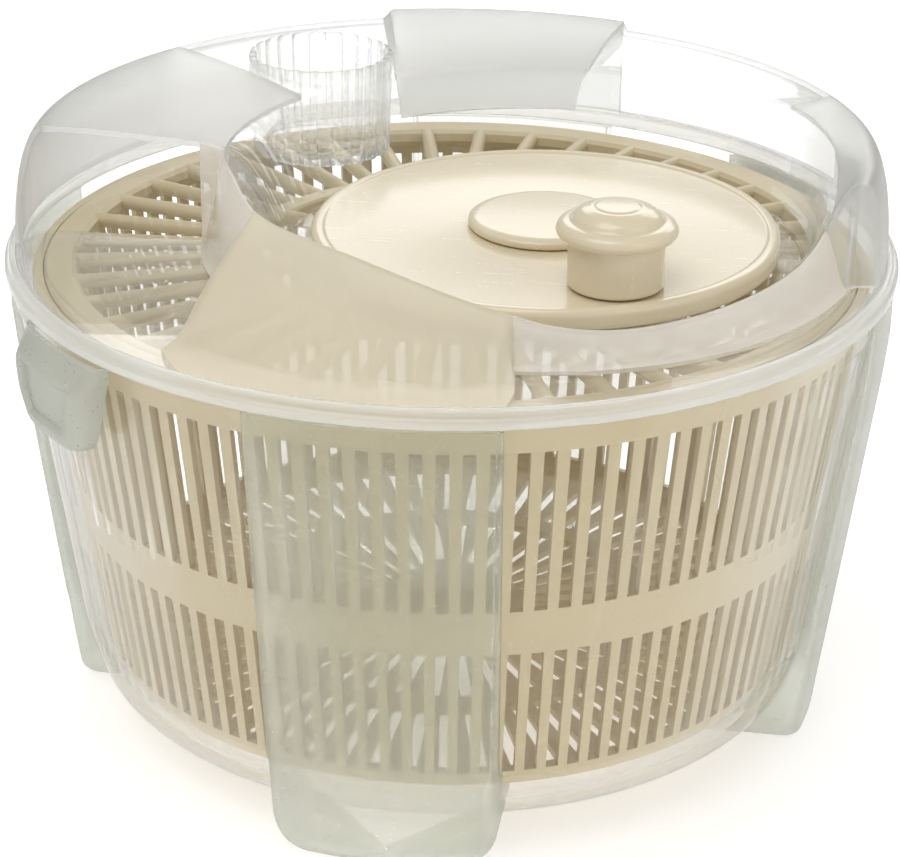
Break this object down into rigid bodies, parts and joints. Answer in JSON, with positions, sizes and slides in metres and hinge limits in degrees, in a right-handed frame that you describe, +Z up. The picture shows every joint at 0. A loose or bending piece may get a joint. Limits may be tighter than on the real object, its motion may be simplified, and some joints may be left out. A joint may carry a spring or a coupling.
{
  "type": "salad spinner",
  "caption": "Clear salad spinner on frosted feet, with a slotted basket, a spoked cover, and a domed lid whose off-centre crank disc and knob turn the basket.",
  "frame": {"origin": "on the table under the middle of the bowl, on the axis the basket turns about", "axes": "+Z up; -Y towards the front foot; +X towards the right foot and roughly towards the crank"},
  "size_m": [0.28, 0.28, 0.194],
  "materials": {
    "clear_plastic": "clear polished moulded plastic",
    "frosted_plastic": "frosted, fine textured translucent plastic",
    "beige_plastic": "satin moulded plastic",
    "cream_plastic": "semi-gloss moulded plastic",
    "white_bearing_plastic": "smooth low-friction plastic",
    "steel": "turned stainless steel"
  },
  "bodies": {
    "bowl": {"bowl_shell": "clear_plastic", "foot_front": "frosted_plastic", "foot_right": "frosted_plastic", "foot_back": "frosted_plastic", "foot_left": "frosted_plastic", "pivot_pin": "steel"},
    "bearing": {"bearing_cup": "white_bearing_plastic"},
    "basket": {"basket": "beige_plastic"},
    "cover": {"basket_cover": "beige_plastic"},
    "lid": {"lid_shell": "clear_plastic", "lid_lobe_front": "frosted_plastic", "lid_lobe_right": "frosted_plastic", "lid_lobe_back": "frosted_plastic", "lid_lobe_left": "frosted_plastic", "fill_tube": "clear_plastic", "pinion_bush": "white_bearing_plastic", "axle_bush": "white_bearing_plastic", "axle_washer": "steel", "axle_screw": "steel", "axle_nut": "steel"},
    "pinion": {"drive_pinion": "white_bearing_plastic", "drive_coupler": "white_bearing_plastic", "coupler_screw": "steel"},
    "crank": {"crank_disc": "cream_plastic", "ring_gear": "white_bearing_plastic", "ring_gear_screw": "steel", "hub_cap": "cream_plastic", "knob_pin": "steel"},
    "knob": {"knob_stem": "cream_plastic", "knob_cap": "cream_plastic"}
  },
  "joints": [
    {"name": "lid_lift", "type": "slide", "parent": "bowl", "child": "lid", "axis": [0, 0, 1], "range_m": [0, 0.18]},
    {"name": "basket_lift", "type": "slide", "parent": "bowl", "child": "bearing", "axis": [0, 0, 1], "range_m": [0, 0.072]},
    {"name": "basket_spin", "type": "hinge", "parent": "bearing", "child": "basket", "pos_m": [0, 0, 0.025], "axis": [0, 0, 1], "continuous": true},
    {"name": "cover_lift", "type": "slide", "parent": "basket", "child": "cover", "axis": [0, 0, 1], "range_m": [0, 0.054]},
    {"name": "crank_spin", "type": "hinge", "parent": "lid", "child": "crank", "pos_m": [0.03066, -0.00725, 0.162], "axis": [0, 0, 1], "continuous": true},
    {"name": "pinion_spin", "type": "hinge", "parent": "lid", "child": "pinion", "pos_m": [0, 0, 0.158], "axis": [0, 0, 1], "continuous": true},
    {"name": "knob_spin", "type": "hinge", "parent": "crank", "child": "knob", "pos_m": [0.05741, -0.05415, 0.175], "axis": [0, 0, 1], "continuous": true}
  ],
  "couplings": [
    {"joint": "basket_lift", "follows": "lid_lift", "ratio": 0.4},
    {"joint": "cover_lift", "follows": "lid_lift", "ratio": 0.3},
    {"joint": "pinion_spin", "follows": "crank_spin", "ratio": 4},
    {"joint": "basket_spin", "follows": "crank_spin", "ratio": 4}
  ]
}
